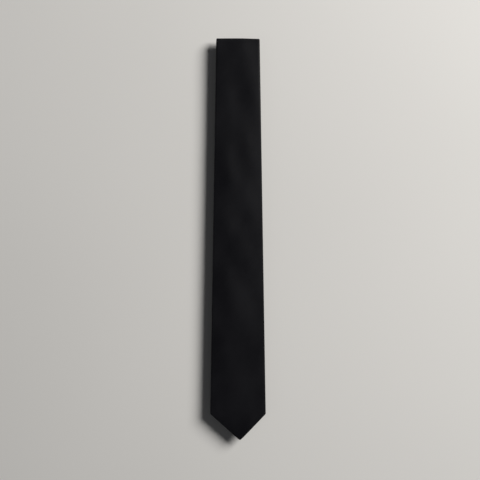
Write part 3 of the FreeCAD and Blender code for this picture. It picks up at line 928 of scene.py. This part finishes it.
def noise(tree, scale, detail, vector=None):
    """Soft noise, from 0 to 1, placed on the object unless a vector is given."""
    node = add(tree, "ShaderNodeTexNoise", Scale=scale, Detail=detail)
    if vector is None:
        vector = add(tree, "ShaderNodeTexCoord").outputs["Object"]
    tree.links.new(vector, node.inputs["Vector"])
    return node.outputs["Fac"]


def bump(tree, shader, height, strength, distance):
    """Relief of the given depth in metres."""
    node = add(tree, "ShaderNodeBump", Strength=strength, Distance=distance)
    tree.links.new(height, node.inputs["Height"])
    tree.links.new(node.outputs["Normal"], shader.inputs["Normal"])


def stretched(tree, vector, turn, wide, long):
    """Soft streaks on the cloth, wide across and long along a direction, in metres."""
    mapping = add(tree, "ShaderNodeMapping", vector_type="TEXTURE")
    mapping.inputs["Rotation"].default_value = (0, 0, turn)
    mapping.inputs["Scale"].default_value = (wide, long, 1)
    tree.links.new(vector, mapping.inputs["Vector"])
    return noise(tree, scale=1.0, detail=2.0, vector=mapping.outputs["Vector"])


def woven(name, dark, light, rib, cross, turn, rough, sheen, specular, depth):
    """A woven cloth: ribs of one period crossed by threads of another, slubby and cloudy.

    rib, cross and depth are in metres. turn is the ribs' angle to the cloth's length.
    """
    rough_spread = 0.1
    material, tree, shader = new_material(name)
    cloth = add(tree, "ShaderNodeUVMap", uv_map="cloth").outputs["UV"]
    vector = cloth_coordinates(tree, turn)
    ribs = bands(tree, vector, rib, "X", distort=0.4)
    threads_across = bands(tree, vector, cross, "Y", distort=0.3)
    weave = math_node(tree, "MULTIPLY", ribs, spread(tree, threads_across, 0.6, 1.0))
    slubs = mixed_values(tree, (stretched(tree, cloth, turn, wide=0.0011, long=0.012), 0.5),
                         (stretched(tree, cloth, turn + math.pi / 2, wide=0.0014, long=0.009),
                          0.5))
    cloud = stretched(tree, cloth, math.radians(-35), wide=0.03, long=0.06)
    shade = mixed_values(tree, (weave, 0.3), (slubs, 0.35), (cloud, 0.35))
    tree.links.new(blend_colours(tree, shade, dark, light), shader.inputs["Base Color"])
    uneven = mixed_values(tree, (slubs, 0.3), (cloud, 0.7))
    roughness = spread(tree, uneven, rough - rough_spread, rough + rough_spread, start=0.3,
                       end=0.7)
    tree.links.new(roughness, shader.inputs["Roughness"])
    height = math_node(tree, "ADD", weave, math_node(tree, "MULTIPLY", slubs, 0.6))
    bump(tree, shader, height, strength=0.55, distance=depth)
    shader.inputs["Specular IOR Level"].default_value = specular
    shader.inputs["Sheen Weight"].default_value = sheen
    shader.inputs["Sheen Roughness"].default_value = 0.45
    shader.inputs["Sheen Tint"].default_value = (0.75, 0.78, 0.85, 1)
    return material


def felted(name, dark, light):
    """Brushed wool interlining: no weave to see, only matted fibres."""
    material, tree, shader = new_material(name)
    fibres = noise(tree, scale=1400.0, detail=6.0)
    tufts = noise(tree, scale=220.0, detail=3.0)
    mixed = math_node(tree, "MULTIPLY", fibres, math_node(tree, "ADD", tufts, 0.5))
    tree.links.new(blend_colours(tree, mixed, dark, light), shader.inputs["Base Color"])
    tree.links.new(spread(tree, tufts, 0.85, 1.0), shader.inputs["Roughness"])
    bump(tree, shader, mixed, strength=0.6, distance=0.0002)
    shader.inputs["Specular IOR Level"].default_value = 0.1
    shader.inputs["Sheen Weight"].default_value = 0.3
    return material


def spun(name, dark, light):
    """Sewing thread: two plies twisted together."""
    material, tree, shader = new_material(name)
    place = add(tree, "ShaderNodeTexCoord").outputs["Object"]
    twist = bands(tree, place, 0.00035, "DIAGONAL", distort=0.6)
    tree.links.new(blend_colours(tree, twist, dark, light), shader.inputs["Base Color"])
    roughness = spread(tree, noise(tree, scale=900.0, detail=3.0), 0.35, 0.55)
    tree.links.new(roughness, shader.inputs["Roughness"])
    bump(tree, shader, twist, strength=0.5, distance=0.00004)
    shader.inputs["Specular IOR Level"].default_value = 0.35
    shader.inputs["Sheen Weight"].default_value = 0.15
    return material


def floor_material():
    """A matt pale floor with faint clouds."""
    material, tree, shader = new_material("pale_floor")
    cloud = noise(tree, scale=2.0, detail=2.0)
    colour = blend_colours(tree, cloud, (0.70, 0.69, 0.67), (0.74, 0.73, 0.71))
    tree.links.new(colour, shader.inputs["Base Color"])
    shader.inputs["Roughness"].default_value = 0.9
    shader.inputs["Specular IOR Level"].default_value = 0.15
    return material


# ---------------------------------------------------------------- floor, light and camera

def build_stage():
    """A pale floor, and a weak even light from all round."""
    half = 4000.0
    floor = mesh_object("studio_floor", [(-half, -half, 0), (half, -half, 0), (half, half, 0),
                                         (-half, half, 0)], [(0, 1, 2, 3)])
    material_of(floor, floor_material())
    world = bpy.data.worlds.new("studio")
    bpy.context.scene.world = world
    world.use_nodes = True
    background = world.node_tree.nodes["Background"]
    background.inputs["Color"].default_value = (0.93, 0.95, 1.0, 1)
    background.inputs["Strength"].default_value = 0.05


def area_light(name, place, size, power, colour):
    """A round soft lamp aimed at the origin. place and size are in metres, power in watts."""
    data = bpy.data.lights.new(name, "AREA")
    data.shape = "DISK"
    data.size = size
    data.energy = power
    data.color = colour
    light = bpy.data.objects.new(name, data)
    light.location = place
    light.rotation_euler = (-light.location).to_track_quat("-Z", "Y").to_euler()
    bpy.context.scene.collection.objects.link(light)


def build_camera():
    """Straight above, with the point of the blade at the bottom of the frame. In metres."""
    frame_width, right, up = 0.4743, 0.0020, -0.0012
    data = bpy.data.cameras.new("camera")
    data.lens = 85
    data.sensor_width = 36
    camera = bpy.data.objects.new("camera", data)
    above = frame_width * data.lens / data.sensor_width
    camera.location = (right, up, cad_box[1].z + above)
    bpy.context.scene.collection.objects.link(camera)
    bpy.context.scene.camera = camera


# ---------------------------------------------------------------- the scene

tie_cloth = woven("black_tie_cloth", (0.0020, 0.0020, 0.0031), (0.0056, 0.0056, 0.0078),
                  rib=0.00055, cross=0.00034, turn=math.radians(45), rough=0.50, sheen=0.03,
                  specular=0.165, depth=0.00005)
satin = woven("black_satin_lining", (0.006, 0.006, 0.007), (0.014, 0.014, 0.016),
              rib=0.00030, cross=0.0009, turn=0.0, rough=0.36, sheen=0.05,
              specular=0.4, depth=0.00002)
ribbon = woven("label_ribbon", (0.011, 0.011, 0.013), (0.021, 0.021, 0.024),
               rib=0.00042, cross=0.00042, turn=0.0, rough=0.42, sheen=0.08,
               specular=0.35, depth=0.00003)
wool = felted("interlining_wool", (0.42, 0.38, 0.31), (0.66, 0.61, 0.53))
thread = spun("black_thread", (0.008, 0.008, 0.009), (0.02, 0.02, 0.022))

build_stage()
build_camera()
area_light("key", place=(1.62, 1.02, 1.44), size=1.27, power=75.5, colour=(1.0, 0.985, 0.96))
area_light("fill", place=(-1.2, -0.7, 1.4), size=1.4, power=0.5, colour=(0.95, 0.97, 1.0))
build_shell(tie_cloth)
build_interlining(wool)
build_tipping(satin)
build_threads(thread)
build_keeper(tie_cloth, thread)
build_labels(ribbon, thread)
bpy.context.scene.view_settings.view_transform = "Standard"

bpy.context.view_layer.update()
